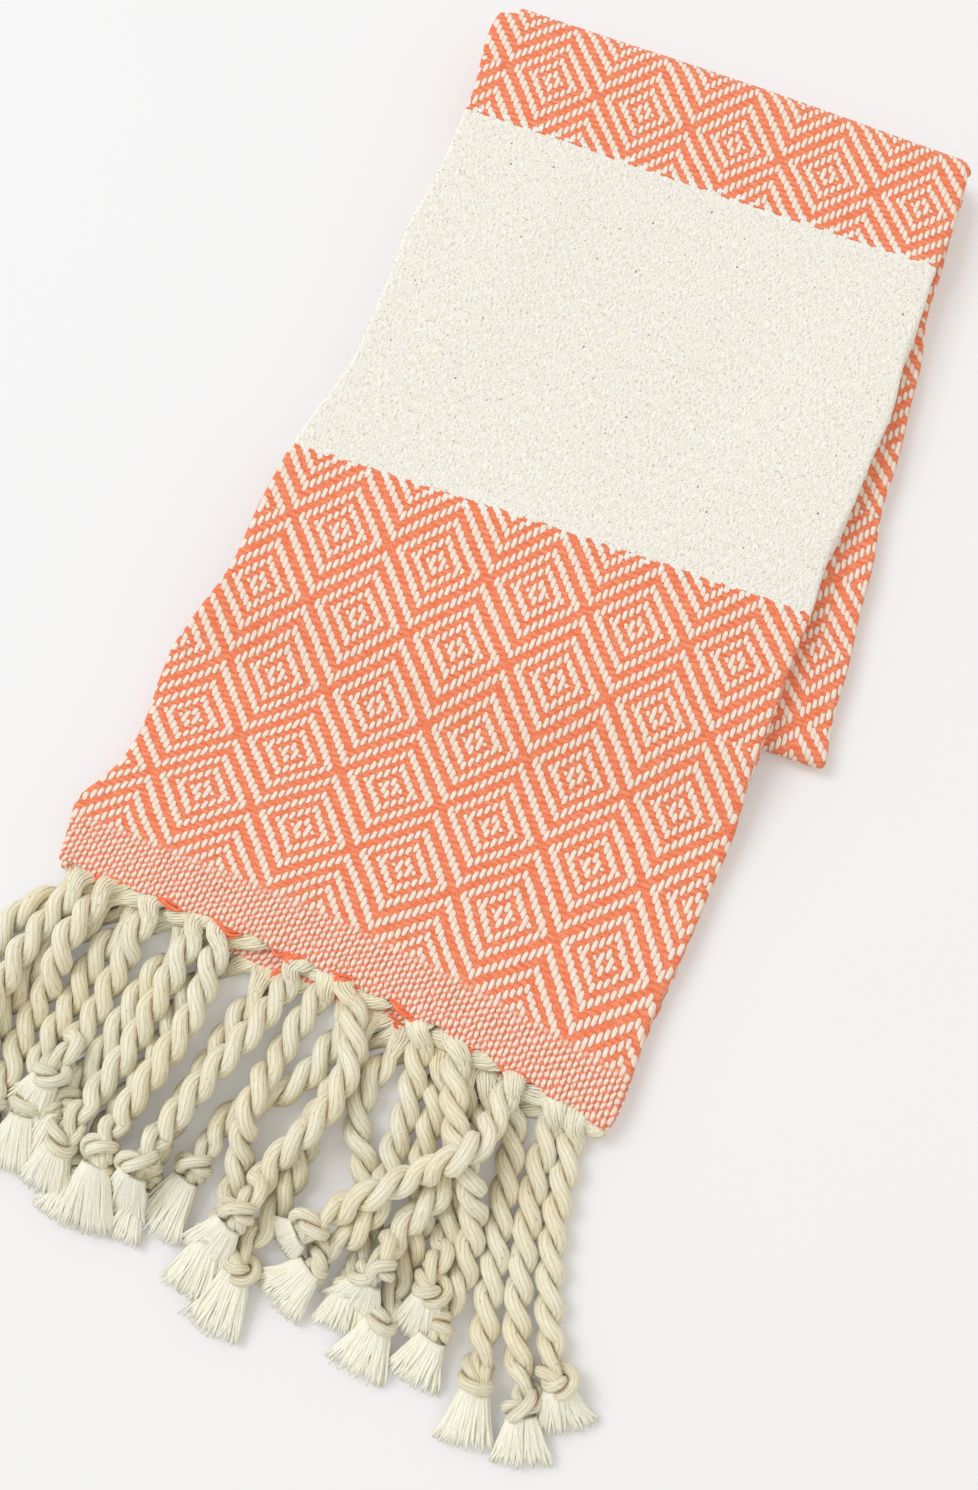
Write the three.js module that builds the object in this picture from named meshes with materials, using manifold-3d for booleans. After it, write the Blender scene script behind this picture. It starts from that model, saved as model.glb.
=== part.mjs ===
// A kitchen towel with knotted tassels at both ends, folded small and laid flat.
//
// Lengths are in millimetres. +X runs across the towel, +Y towards its top fold, +Z up.
// The cloth is folded in thirds across its width, then in half end to end, then once more
// over the top. Both knotted ends so come to lie together at the bottom, the first end on
// top and the second just below it.

import * as THREE from 'three';
import { mergeVertices } from 'three/addons/utils/BufferGeometryUtils.js';
import Module from 'manifold-3d';

const wasm = await Module();
wasm.setup();

// ---------------------------------------------------------------- driving dimensions

const CLOTH_THICKNESS = 1.0;
const LAYER_GAP = 0.3;
const LAYER_PITCH = CLOTH_THICKNESS + LAYER_GAP;
const LAYERS_IN_STRIP = 3;
const STRIP_PITCH = LAYERS_IN_STRIP * LAYER_PITCH;

// The cloth is three panels wide: a middle one that shows, and two flaps folded under it.
const PANEL_WIDTH = 150;
const HALF_PANEL = PANEL_WIDTH / 2;
const FLAP_SHORT_BY = 3;

const TOP_FOLD_Y = 195;
const MIDDLE_FOLD_Y = 4;
const END_Y = -104;
const FOLD_STEPS = 6;
const SIDE_FOLD_STEPS = 3;

// The side edges of the strips, which fan out towards the tassels. The front strip is the
// doubled cloth on top, and the under strip is the doubled cloth below the top fold.
const FRONT_EDGES = [
  { y: 195, left: -59, right: 94 },
  { y: 165, left: -58, right: 92 },
  { y: 110, left: -63, right: 91.5 },
  { y: 60, left: -68, right: 88 },
  { y: 10, left: -74, right: 84 },
  { y: -30, left: -80.5, right: 81.5 },
  { y: -60, left: -87, right: 78.5 },
  { y: -85, left: -92, right: 76 },
  { y: -120, left: -91, right: 72 },
];
const UNDER_EDGES = [
  { y: 195, left: -59, right: 94 },
  { y: 160, left: -56.5, right: 94.5 },
  { y: 100, left: -51, right: 100 },
  { y: 45, left: -48, right: 103 },
  { y: 0, left: -45, right: 106 },
];

// Where the two cut ends lie, from the left edge to the right edge of the strip.
const CUT_ENDS = [
  { across: -75, first: -96, second: -107 },
  { across: -30, first: -98, second: -112 },
  { across: 5, first: -101, second: -114 },
  { across: 40, first: -107, second: -116 },
  { across: 75, first: -115, second: -118 },
];
const END_SKEW_STARTS_Y = -25;

// Below the middle fold the front strip comes down onto the table.
const STEP_DOWN_FROM_Y = 2;
const STEP_DOWN_TO_Y = -38;
const STEP_DOWN = 2 * STRIP_PITCH;

// Soft unevenness of the whole lay.
const TOP_SKEW = 0.02;
const CORNER_ROUND = 3;
const SWELL = 0.05;
const SWELL_LENGTH_X = 24;
const SWELL_LENGTH_Y = 33;

// Rows of the mesh along the strips, between the folds.
const FRONT_ROWS = [-104, -90, -76, -62, -48, -35, -24, -12, 0, 30, 65, 100, 135, 168];
const UNDER_ROWS = [168, 135, 100, 65, 30];
const PANEL_COLUMNS = 4;

// The comb that carries a row of tassels, and the tassels' own sizes.
const COMB_GAP = 0.8;
const COMB_DEPTH = 5;
const COMB_COLUMNS = 14;
const TASSEL_SIDES = 6;
const TASSEL_CLEARANCE = 0.8;
const LAY_STEPS = 60;

// A tassel's half width and half height, from its root (0) past its knot (1) to its tip (2).
const TASSEL_PROFILE = [
  { at: 0, wide: 1.6, high: 1.6 },
  { at: 0.12, wide: 3.4, high: 2.8 },
  { at: 0.28, wide: 3.9, high: 3.4 },
  { at: 0.45, wide: 3.9, high: 3.4 },
  { at: 0.62, wide: 3.9, high: 3.4 },
  { at: 0.8, wide: 3.8, high: 3.4 },
  { at: 0.93, wide: 5.2, high: 4.4 },
  { at: 1.1, wide: 5.4, high: 4.6 },
  { at: 1.35, wide: 3.8, high: 3.2 },
  { at: 1.65, wide: 5.2, high: 2.9 },
  { at: 2, wide: 6.2, high: 2.4 },
];

// Each tassel leaves its comb at a place across the strip. Its knot and its tip lie at
// [x, y]. On the way to the knot it bows to one side, and sways first one way, then back.
const LOWER_TASSELS = [
  { across: -71, knot: [-100, -162], tip: [-100, -180], bow: -5, sway: -2 },
  { across: -63, knot: [-89, -158], tip: [-95, -174], bow: -4, sway: -1 },
  { across: -55, knot: [-75, -160], tip: [-74, -178], bow: 1, sway: 0 },
  { across: -40, knot: [-64, -158], tip: [-66, -176], bow: 2, sway: 1 },
  { across: -29, knot: [-53, -168], tip: [-55, -186], bow: 3, sway: 0 },
  { across: -15, knot: [-34, -155], tip: [-37, -172], bow: 0, sway: 0 },
  { across: 8, knot: [-24, -160], tip: [-27, -173], bow: -2, sway: 4 },
  { across: 15, knot: [-4, -179], tip: [-3, -199], bow: -1, sway: 0 },
  { across: 24, knot: [24, -172], tip: [26, -187], bow: -2, sway: -5 },
  { across: 35, knot: [35, -179], tip: [36, -196], bow: 4, sway: -2 },
  { across: 44, knot: [45, -167], tip: [46, -182], bow: 1, sway: 0 },
  { across: 51, knot: [30, -168], tip: [28, -182], bow: 4, sway: 2 },
  { across: 57, knot: [65, -185], tip: [66, -203], bow: 1, sway: 0 },
];
const UPPER_TASSELS = [
  { across: -66, knot: [-93, -163], tip: [-99, -180], bow: -3, sway: -2 },
  { across: -59, knot: [-84, -164], tip: [-89, -181], bow: -2, sway: 0 },
  { across: -46, knot: [-69, -149], tip: [-77, -166], bow: -1, sway: -1 },
  { across: -35, knot: [-59, -163], tip: [-60, -181], bow: 2, sway: 1 },
  { across: -30, knot: [-48, -164], tip: [-46, -186], bow: 3, sway: 1 },
  { across: -8, knot: [-38, -163], tip: [-40, -179], bow: 0, sway: 1 },
  { across: 1, knot: [-13, -173], tip: [-14, -188], bow: -4, sway: 0 },
  { across: 6, knot: [-9, -167], tip: [-12, -180], bow: 9, sway: 3 },
  { across: 27, knot: [17, -171], tip: [11, -184], bow: 6, sway: -1 },
  { across: 36, knot: [51, -177], tip: [49, -193], bow: 6, sway: -2 },
  { across: 53, knot: [11, -164], tip: [4, -172], bow: 7, sway: 2 },
  { across: 65, knot: [78, -187], tip: [80, -203], bow: -4, sway: 0 },
  { across: 70, knot: [83, -179], tip: [90, -191], bow: -3, sway: 0 },
];

// ---------------------------------------------------------------- reading the tables

// A table's column, read at any place along another column, on a smooth curve or a line.
function columnCurve(rows, along, column, Interpolant = THREE.CubicInterpolant) {
  const ordered = [...rows].sort((a, b) => a[along] - b[along]);
  const places = ordered.map((row) => row[along]);
  const values = ordered.map((row) => row[column]);
  const curve = new Interpolant(places, values, 1);
  const first = places[0];
  const last = places[places.length - 1];
  return (place) => curve.evaluate(THREE.MathUtils.clamp(place, first, last))[0];
}

function stripEdges(rows) {
  return { left: columnCurve(rows, 'y', 'left'), right: columnCurve(rows, 'y', 'right') };
}

const edges = { front: stripEdges(FRONT_EDGES), under: stripEdges(UNDER_EDGES) };
const cutEnd = {
  first: columnCurve(CUT_ENDS, 'across', 'first'),
  second: columnCurve(CUT_ENDS, 'across', 'second'),
};
const tasselWidth = columnCurve(TASSEL_PROFILE, 'at', 'wide');
const tasselHeight = columnCurve(TASSEL_PROFILE, 'at', 'high');

// ---------------------------------------------------------------- placing a point

// The lay is worked out as a neat pile first. This moves a point of the neat pile to where
// it really lies: between the strip's edges, down the step, and onto its own cut end.
// sheet is 'first' or 'second' for the front strip's two sheets, or 'under'.
function place(sheet, across, y, z) {
  const edge = sheet === 'under' ? edges.under : edges.front;
  const left = edge.left(y);
  const right = edge.right(y);
  const middle = (left + right) / 2;
  const rounding = CORNER_ROUND * THREE.MathUtils.smoothstep(y, TOP_FOLD_Y - 4, TOP_FOLD_Y + 8);
  const spread = (right - left - 2 * rounding) / PANEL_WIDTH;
  const x = middle + across * spread;

  const topSkew = TOP_SKEW * (middle - x) * THREE.MathUtils.smoothstep(y, TOP_FOLD_Y / 2, TOP_FOLD_Y);
  let endShift = 0;
  let stepDown = 0;
  if (sheet !== 'under') {
    const towardsEnd = 1 - THREE.MathUtils.smoothstep(y, END_Y, END_SKEW_STARTS_Y);
    endShift = (cutEnd[sheet](across) - END_Y) * towardsEnd;
    stepDown = STEP_DOWN * (1 - THREE.MathUtils.smoothstep(y, STEP_DOWN_TO_Y, STEP_DOWN_FROM_Y));
  }
  const swell = 1 + SWELL * Math.sin(x / SWELL_LENGTH_X + 0.6) * Math.sin(y / SWELL_LENGTH_Y + 1.1);
  return new THREE.Vector3(x, y + topSkew + endShift, (z - stepDown) * swell);
}

// ---------------------------------------------------------------- the cloth

// Points along an arc. Each has its place and the direction that points away from the centre.
function arc(centreA, centreB, radius, fromAngle, toAngle, steps) {
  return Array.from({ length: steps + 1 }, (_, step) => {
    const angle = THREE.MathUtils.lerp(fromAngle, toAngle, step / steps);
    const outA = Math.cos(angle);
    const outB = Math.sin(angle);
    return { a: centreA + radius * outA, b: centreB + radius * outB, outA, outB };
  });
}

// The way along the length, as the middle panel's height at each row, and its outer side.
function lengthStations() {
  const half = CLOTH_THICKNESS / 2;
  const pileTop = 4 * STRIP_PITCH - LAYER_GAP;
  const heights = {
    first: pileTop - half,
    second: 2 * STRIP_PITCH + half,
    upperUnder: 2 * STRIP_PITCH - LAYER_GAP - half,
    lowerUnder: half,
  };
  const foldZ = pileTop / 2;
  const middleFoldZ = (heights.upperUnder + heights.lowerUnder) / 2;
  const right = Math.PI / 2;

  const row = (sheet, y, z, outZ) => ({ sheet, y, z, outY: 0, outZ });
  const fold = (sheet, centreY, centreZ, radius, from, to, facing) =>
    arc(centreY, centreZ, radius, from, to, FOLD_STEPS).map(({ a, b, outA, outB }) => ({
      sheet,
      y: a,
      z: b,
      outY: facing * outA,
      outZ: facing * outB,
    }));

  return [
    ...FRONT_ROWS.map((y) => row('first', y, heights.first, 1)),
    ...fold('under', TOP_FOLD_Y, foldZ, heights.first - foldZ, right, -right, 1),
    ...UNDER_ROWS.map((y) => row('under', y, heights.lowerUnder, -1)),
    ...fold('under', MIDDLE_FOLD_Y, middleFoldZ, middleFoldZ - half, -right, -3 * right, 1),
    ...UNDER_ROWS.toReversed().map((y) => row('under', y, heights.upperUnder, 1)),
    ...fold('under', TOP_FOLD_Y, foldZ, heights.second - foldZ, -right, right, -1),
    ...FRONT_ROWS.toReversed().map((y) => row('second', y, heights.second, -1)),
  ];
}

// The way across the width: the long flap, a side fold, the middle panel, the other side
// fold and the other flap. b is the height over the middle panel.
function widthStations() {
  const half = CLOTH_THICKNESS / 2;
  const leftFold = { radius: LAYER_PITCH / 2, b: -LAYER_PITCH / 2 };
  const rightFold = { radius: LAYER_PITCH, b: -LAYER_PITCH };
  leftFold.a = -HALF_PANEL + half + leftFold.radius;
  rightFold.a = HALF_PANEL - half - rightFold.radius;
  const right = Math.PI / 2;

  const flat = (from, to, b, outB) =>
    Array.from({ length: PANEL_COLUMNS }, (_, column) => ({
      a: THREE.MathUtils.lerp(from, to, (column + 0.5) / PANEL_COLUMNS),
      b,
      outA: 0,
      outB,
    }));
  const edge = (a, b, outB) => ({ a, b, outA: 0, outB });

  const flapEnd = HALF_PANEL - FLAP_SHORT_BY;
  return [
    edge(flapEnd, -LAYER_PITCH, -1),
    ...flat(flapEnd, leftFold.a, -LAYER_PITCH, -1),
    ...arc(leftFold.a, leftFold.b, leftFold.radius, -right, -3 * right, SIDE_FOLD_STEPS),
    ...flat(leftFold.a, rightFold.a, 0, 1),
    ...arc(rightFold.a, rightFold.b, rightFold.radius, right, -right, SIDE_FOLD_STEPS),
    ...flat(rightFold.a, -flapEnd, -2 * LAYER_PITCH, -1),
    edge(-flapEnd, -2 * LAYER_PITCH, -1),
  ];
}

// A closed solid from rings of points. Each ring has the same number of points, and
// capFaces gives the faces that close a ring.
function solidFromRings(rings, capFaces) {
  const count = rings[0].length;
  const positions = rings.flat().flatMap((point) => point.toArray());
  const indices = [];
  for (let ring = 0; ring + 1 < rings.length; ring += 1) {
    for (let side = 0; side < count; side += 1) {
      const here = ring * count + side;
      const beside = ring * count + ((side + 1) % count);
      indices.push(here, beside, beside + count);
      indices.push(here, beside + count, here + count);
    }
  }
  const lastRing = (rings.length - 1) * count;
  for (const [a, b, c] of capFaces) {
    indices.push(c, b, a);
    indices.push(lastRing + a, lastRing + b, lastRing + c);
  }
  const geometry = new THREE.BufferGeometry();
  geometry.setAttribute('position', new THREE.Float32BufferAttribute(positions, 3));
  geometry.setIndex(indices);
  return geometry;
}

function clothGeometry() {
  const half = CLOTH_THICKNESS / 2;
  const width = widthStations();
  const outline = [
    ...width.map(({ a, b, outA, outB }) => [a + half * outA, b + half * outB]),
    ...width.toReversed().map(({ a, b, outA, outB }) => [a - half * outA, b - half * outB]),
  ];
  const rings = lengthStations().map(({ sheet, y, z, outY, outZ }) =>
    outline.map(([across, height]) => place(sheet, across, y + height * outY, z + height * outZ)),
  );

  const last = outline.length - 1;
  const capFaces = [];
  for (let i = 0; i + 1 < width.length; i += 1) {
    capFaces.push([i, i + 1, last - i - 1]);
    capFaces.push([i, last - i - 1, last - i]);
  }
  return solidFromRings(rings, capFaces);
}

// ---------------------------------------------------------------- the tassels

// The strip of gathered warp ends just past a cut end, which a row of tassels hangs from.
function combStripGeometry(sheet, bottom) {
  const top = bottom + STRIP_PITCH - LAYER_GAP;
  const near = END_Y - COMB_GAP;
  const far = near - COMB_DEPTH;
  const rings = Array.from({ length: COMB_COLUMNS + 1 }, (_, column) => {
    const across = THREE.MathUtils.lerp(-HALF_PANEL + 1, HALF_PANEL - 1, column / COMB_COLUMNS);
    const corners = [[near, bottom], [near, top], [far, top], [far, bottom]];
    return corners.map(([y, z]) => place(sheet, across, y, z + STEP_DOWN));
  });
  return solidFromRings(rings, [[0, 1, 2], [0, 2, 3]]);
}

// A tassel's line on the table, from root (0) past knot (1) to tip (2).
function tasselLine(root, { knot, tip, bow, sway }) {
  return (at) => {
    if (at > 1) {
      return [
        THREE.MathUtils.lerp(knot[0], tip[0], at - 1),
        THREE.MathUtils.lerp(knot[1], tip[1], at - 1),
      ];
    }
    const aside = bow * Math.sin(Math.PI * at) + sway * Math.sin(2 * Math.PI * at);
    return [
      THREE.MathUtils.lerp(root.x, knot[0], at) + aside,
      THREE.MathUtils.lerp(root.y, knot[1], at),
    ];
  };
}

// Lays a tassel down over what is already there. At each sample the lowest height is the one
// that clears the table, the ledge that the root lies on, and the lower tassels. A section
// lies as high as the samples on both sides of it need, so that no straight stretch between
// two sections cuts through what is below.
function layTassel(root, row, ledge, lowerSamples) {
  const line = tasselLine(root, row);
  const samples = Array.from({ length: LAY_STEPS + 1 }, (_, step) => {
    const at = (2 * step) / LAY_STEPS;
    const [x, y] = line(at);
    const wide = tasselWidth(at);
    const high = tasselHeight(at);
    const onLedge = y + wide + TASSEL_CLEARANCE > ledge.y;
    return { at, x, y, wide, high, floor: high + (onLedge ? ledge.z : 0) };
  });
  for (const sample of samples) {
    for (const below of lowerSamples) {
      const reach = sample.wide + below.wide + TASSEL_CLEARANCE;
      const apart = Math.hypot(sample.x - below.x, sample.y - below.y) / reach;
      if (apart < 1) {
        const stack = (sample.high + below.high + TASSEL_CLEARANCE) * Math.sqrt(1 - apart * apart);
        sample.floor = Math.max(sample.floor, below.z + stack);
      }
    }
  }

  const lastSection = TASSEL_PROFILE.length - 1;
  const sections = TASSEL_PROFILE.map(({ at, wide, high }, index) => {
    const from = TASSEL_PROFILE[Math.max(index - 1, 0)].at;
    const to = TASSEL_PROFILE[Math.min(index + 1, lastSection)].at;
    const nearby = samples.filter((sample) => sample.at >= from && sample.at <= to);
    const [x, y] = line(at);
    return { at, x, y, z: Math.max(...nearby.map((sample) => sample.floor)), wide, high };
  });
  sections[0].z = root.z;

  const height = columnCurve(sections, 'at', 'z', THREE.LinearInterpolant);
  for (const sample of samples) {
    sample.z = height(sample.at);
  }
  return { sections, samples };
}

// A closed tube through a tassel's sections, flattened as each section says.
function tasselGeometry(sections) {
  const centres = sections.map(({ x, y, z }) => new THREE.Vector3(x, y, z));
  const last = sections.length - 1;
  const rings = sections.map(({ wide, high }, index) => {
    const ahead = centres[Math.min(index + 1, last)].clone().sub(centres[Math.max(index - 1, 0)]);
    const beside = new THREE.Vector3(-ahead.y, ahead.x, 0).normalize();
    return Array.from({ length: TASSEL_SIDES }, (_, side) => {
      const angle = (2 * Math.PI * (side + 0.5)) / TASSEL_SIDES;
      const point = centres[index].clone().addScaledVector(beside, wide * Math.cos(angle));
      point.z += high * Math.sin(angle);
      return point;
    });
  });
  const capFaces = Array.from({ length: TASSEL_SIDES - 2 }, (_, i) => [0, i + 1, i + 2]);
  return solidFromRings(rings, capFaces);
}

// ---------------------------------------------------------------- joining

function manifoldFrom(geometry) {
  const merged = mergeVertices(geometry.clone());
  const mesh = new wasm.Mesh({
    numProp: 3,
    vertProperties: new Float32Array(merged.attributes.position.array),
    triVerts: new Uint32Array(merged.index.array),
  });
  return new wasm.Manifold(mesh);
}

function geometryFrom(manifold) {
  const { vertProperties, triVerts } = manifold.getMesh();
  const geometry = new THREE.BufferGeometry();
  geometry.setAttribute('position', new THREE.BufferAttribute(new Float32Array(vertProperties), 3));
  geometry.setIndex(new THREE.BufferAttribute(new Uint32Array(triVerts), 1));
  return geometry;
}

// One comb: the strip of warp ends with its row of tassels, laid over the lower ones. Its
// bottom is the height of the sheet it ends, and what it lies on reaches to the ledge.
function combWithSamples(sheet, bottom, rows, lowerSamples) {
  const rootY = END_Y - COMB_GAP - COMB_DEPTH / 2;
  const rootZ = bottom + (STRIP_PITCH - LAYER_GAP) / 2;
  const samples = [];
  let comb = manifoldFrom(combStripGeometry(sheet, bottom));
  for (const row of rows) {
    const root = place(sheet, row.across, rootY, rootZ + STEP_DOWN);
    const ledge = { y: cutEnd.second(row.across) - COMB_GAP - COMB_DEPTH, z: bottom * (1 + SWELL) };
    const laid = layTassel(root, row, ledge, lowerSamples);
    samples.push(...laid.samples);
    comb = comb.add(manifoldFrom(tasselGeometry(laid.sections)));
  }
  return { geometry: geometryFrom(comb), samples };
}

// ---------------------------------------------------------------- the towel

const clothMaterial = new THREE.MeshStandardMaterial({ color: 0xf3a184, roughness: 0.92, metalness: 0 });
const fringeMaterial = new THREE.MeshStandardMaterial({ color: 0xe6dcc4, roughness: 0.95, metalness: 0 });

const lowerComb = combWithSamples('second', 0, LOWER_TASSELS, []);
const upperComb = combWithSamples('first', STRIP_PITCH, UPPER_TASSELS, lowerComb.samples);

const towel = new THREE.Group();
const pieces = [
  ['towel_cloth', clothGeometry(), clothMaterial],
  ['fringe_lower', lowerComb.geometry, fringeMaterial],
  ['fringe_upper', upperComb.geometry, fringeMaterial],
];
for (const [name, geometry, material] of pieces) {
  geometry.computeVertexNormals();
  const mesh = new THREE.Mesh(geometry, material);
  mesh.name = name;
  towel.add(mesh);
}

export default towel;
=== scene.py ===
# %% [markdown]
# # A folded kitchen towel with twisted, knotted tassels
# The towel is one piece of cotton, folded in thirds across and then twice along its length,
# so that both tasselled ends lie together. It is built in three steps: the folded cloth as
# one thin closed sheet, the weave as a material that is drawn in threads and picks, and the
# tassels as real two-strand ropes that are let down onto the table until they rest.

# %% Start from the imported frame
import math

import bpy
import numpy as np
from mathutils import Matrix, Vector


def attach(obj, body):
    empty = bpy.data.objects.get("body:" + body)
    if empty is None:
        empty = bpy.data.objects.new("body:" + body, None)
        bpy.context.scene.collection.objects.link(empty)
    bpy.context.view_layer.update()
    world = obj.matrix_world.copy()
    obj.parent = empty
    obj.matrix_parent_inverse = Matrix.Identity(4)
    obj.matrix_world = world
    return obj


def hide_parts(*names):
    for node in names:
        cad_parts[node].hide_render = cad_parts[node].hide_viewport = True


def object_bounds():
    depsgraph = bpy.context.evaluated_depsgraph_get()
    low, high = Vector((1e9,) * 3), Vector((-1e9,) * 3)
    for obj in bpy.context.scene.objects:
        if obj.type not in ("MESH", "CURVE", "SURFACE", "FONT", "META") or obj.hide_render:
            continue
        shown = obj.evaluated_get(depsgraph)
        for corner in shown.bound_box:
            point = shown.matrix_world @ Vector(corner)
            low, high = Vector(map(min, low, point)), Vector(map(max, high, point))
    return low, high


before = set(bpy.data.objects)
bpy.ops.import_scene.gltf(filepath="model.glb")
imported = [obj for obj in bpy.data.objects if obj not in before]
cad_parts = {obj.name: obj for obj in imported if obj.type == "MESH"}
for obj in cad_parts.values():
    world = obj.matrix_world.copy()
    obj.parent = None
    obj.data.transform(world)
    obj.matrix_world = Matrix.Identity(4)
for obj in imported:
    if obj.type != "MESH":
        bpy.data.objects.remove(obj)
cad_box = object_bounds()
MM = 0.001
low, high = (np.array(corner) / MM for corner in cad_box)
GROUND = low[2]
print("nodes:", sorted(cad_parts), "box in mm:", low.round(1), high.round(1))

# %% [markdown]
# ## The camera
# The towel lies on a table and is seen from nearly straight above, a little from the tassel
# end. The camera is set up first, so that every later piece can be looked at through it.

# %% Camera
CAMERA_ASIDE, CAMERA_DOWN, CAMERA_HEIGHT = 35.5, -92.8, 372.2
CAMERA_TILT, CAMERA_TURN = 11.07, 19.28
LENS, SENSOR_HEIGHT = 31.41, 36
middle = (low + high) / 2

camera_data = bpy.data.cameras.new("camera")
camera_data.sensor_fit = "VERTICAL"
camera_data.sensor_height = SENSOR_HEIGHT
camera_data.lens = LENS
camera_data.clip_start = 0.01
camera = bpy.data.objects.new("camera", camera_data)
camera.location = np.array([middle[0] + CAMERA_ASIDE, middle[1] + CAMERA_DOWN, CAMERA_HEIGHT]) * MM
camera.rotation_euler = (math.radians(CAMERA_TILT), 0, math.radians(CAMERA_TURN))
bpy.context.collection.objects.link(camera)
bpy.context.scene.camera = camera
bpy.context.scene.view_settings.view_transform = "Standard"
print("camera at", np.array(camera.location).round(3))

# %% [markdown]
# ## Reading a table of sizes
# A cloth edge or a rope is easiest to describe by a few sizes measured along it. A smooth
# curve through them gives every place in between, for a whole array at once.

# %% Smooth curves through a few sizes


def smooth_curve(places, values, at):
    """A cubic between each two given places, whose slopes come from the neighbours on both
    sides. Outside the table the curve stays at its first and last value."""
    places = np.asarray(places, float)
    values = np.asarray(values, float)
    at = np.clip(at, places[0], places[-1])
    slopes = np.gradient(values, places)
    index = np.clip(np.searchsorted(places, at, side="right") - 1, 0, len(places) - 2)
    gap = places[index + 1] - places[index]
    t = (at - places[index]) / gap
    return (
        values[index] * (2 * t**3 - 3 * t**2 + 1)
        + values[index + 1] * (3 * t**2 - 2 * t**3)
        + slopes[index] * gap * (t**3 - 2 * t**2 + t)
        + slopes[index + 1] * gap * (t**3 - t**2)
    )


def smooth_step(value, start, end):
    """0 before start, 1 after end, and an even S-shaped rise between them."""
    t = np.clip((np.asarray(value, float) - start) / (end - start), 0, 1)
    return t * t * (3 - 2 * t)


# %% Turning points and faces into a piece


def new_piece(name, points, faces, point_uvs):
    """Makes a smooth-shaded object from points in millimetres, arrays of faces that have
    three or four corners, and a u and a v for every point."""
    mesh = bpy.data.meshes.new(name)
    mesh.from_pydata(points * MM, [], [face for part in faces for face in part.tolist()])
    mesh.shade_smooth()
    uvs = np.concatenate([point_uvs[part.ravel()] for part in faces])
    mesh.uv_layers.new(name="threads").data.foreach_set("uv", uvs.astype(np.float32).ravel())
    mesh.validate()
    piece = bpy.data.objects.new(name, mesh)
    bpy.context.collection.objects.link(piece)
    print(name, "has", sum(len(part) * (part.shape[1] - 2) for part in faces), "triangles")
    return piece


def wall_faces(rings, count):
    """Four-cornered faces between each ring of points and the next, all the way round."""
    ring, side = np.meshgrid(np.arange(rings - 1), np.arange(count), indexing="ij")
    beside = (side + 1) % count
    corners = [(ring, side), (ring, beside), (ring + 1, beside), (ring + 1, side)]
    return np.stack([r * count + s for r, s in corners], -1).reshape(-1, 4)


def grid_mesh(name, tubes):
    """Joins tubes into one piece. A tube is a grid of points, in rings by ring points by
    x, y, z, and the grid of their UVs. Each ring is joined to the next, and the two ends are
    capped by a fan of triangles round the end's middle point."""
    points, faces, point_uvs = [], [], []
    start = 0
    for grid, uv in tubes:
        rings, count = grid.shape[:2]
        size = rings * count
        here, hub = np.arange(count), np.full(count, size)
        there = (here + 1) % count
        last_ring = size - count
        first_cap = np.stack([hub, there, here], 1)
        last_cap = np.stack([hub + 1, here + last_ring, there + last_ring], 1)
        faces += [part + start for part in (wall_faces(rings, count), first_cap, last_cap)]
        points += [grid.reshape(-1, 3), grid[[0, -1]].mean(1)]
        point_uvs += [uv.reshape(-1, 2), uv[[0, -1]].mean(1)]
        start += size + 2
    return new_piece(name, np.concatenate(points), faces, np.concatenate(point_uvs))


# %% [markdown]
# ## The folded cloth
# The lay is worked out as a neat pile first: a middle panel 150 mm wide with two flaps folded
# under it, taken up the front, over the top fold, down to the middle fold, and back. `place`
# then moves every point of the neat pile to where it really lies: between the strip's own
# edges, down the step where the pile gets thinner, and onto its own uneven cut end.

# %% Sizes of the folds, in millimetres
CLOTH = 1.1
PITCH = 1.3
STRIP = 3 * PITCH
HALF_PANEL = 75
FLAP_SHORT_BY = 3
TOP_FOLD_Y = 195
MIDDLE_FOLD_Y = 4
END_Y = -104
SLANT_TOP_Y = -25
STEP_TOP_Y, STEP_FOOT_Y = 2, -38
STEP_DOWN = 2 * STRIP
FIRST, SECOND, UNDER = 0, 1, 2

LEFT_Y = [-120, -95, -85, -75, -62, -48, -38, -29, -19, -6, 12, 38, 52, 75, 100, 150, 195]
FRONT_LEFT = [-90, -92.5, -92.5, -88, -85, -84, -84.8, -84.3, -80.5, -76.4, -75, -72.4,
              -68.2, -64.4, -64, -61, -62.5]
RIGHT_Y = [-120, -112, -101, -90, -60, -30, -8, 10, 60, 110, 165, 195]
FRONT_RIGHT = [71, 74, 78.5, 79.5, 82.3, 85.5, 85.6, 85.5, 88, 91.5, 92, 94]
UNDER_Y = [0, 45, 100, 160, 195]
UNDER_LEFT = [-45, -48, -51, -56.5, -59]
UNDER_RIGHT = [105.2, 101.8, 98.8, 95, 94]
CUT_ACROSS = [-75, -48, -28, 5, 40, 75]
CUT_ENDS = {FIRST: [-96, -97, -98, -101, -107, -115],
            SECOND: [-98, -99, -103.5, -105.5, -110.5, -117]}
SCALLOP, SCALLOP_PITCH, SCALLOP_FADES_OVER = 0.7, 12.4, 9
TOP_ROUNDING = 3

# %% Where a point of the neat pile really lies


def edge_wander(y, sheet):
    """A small sideways wander of a folded edge: two slow waves, out of step between sheets."""
    return 0.5 * np.sin(y / 11 + 2.1 * sheet) + 0.35 * np.sin(y / 5.3 + 1.3 + sheet)


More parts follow.
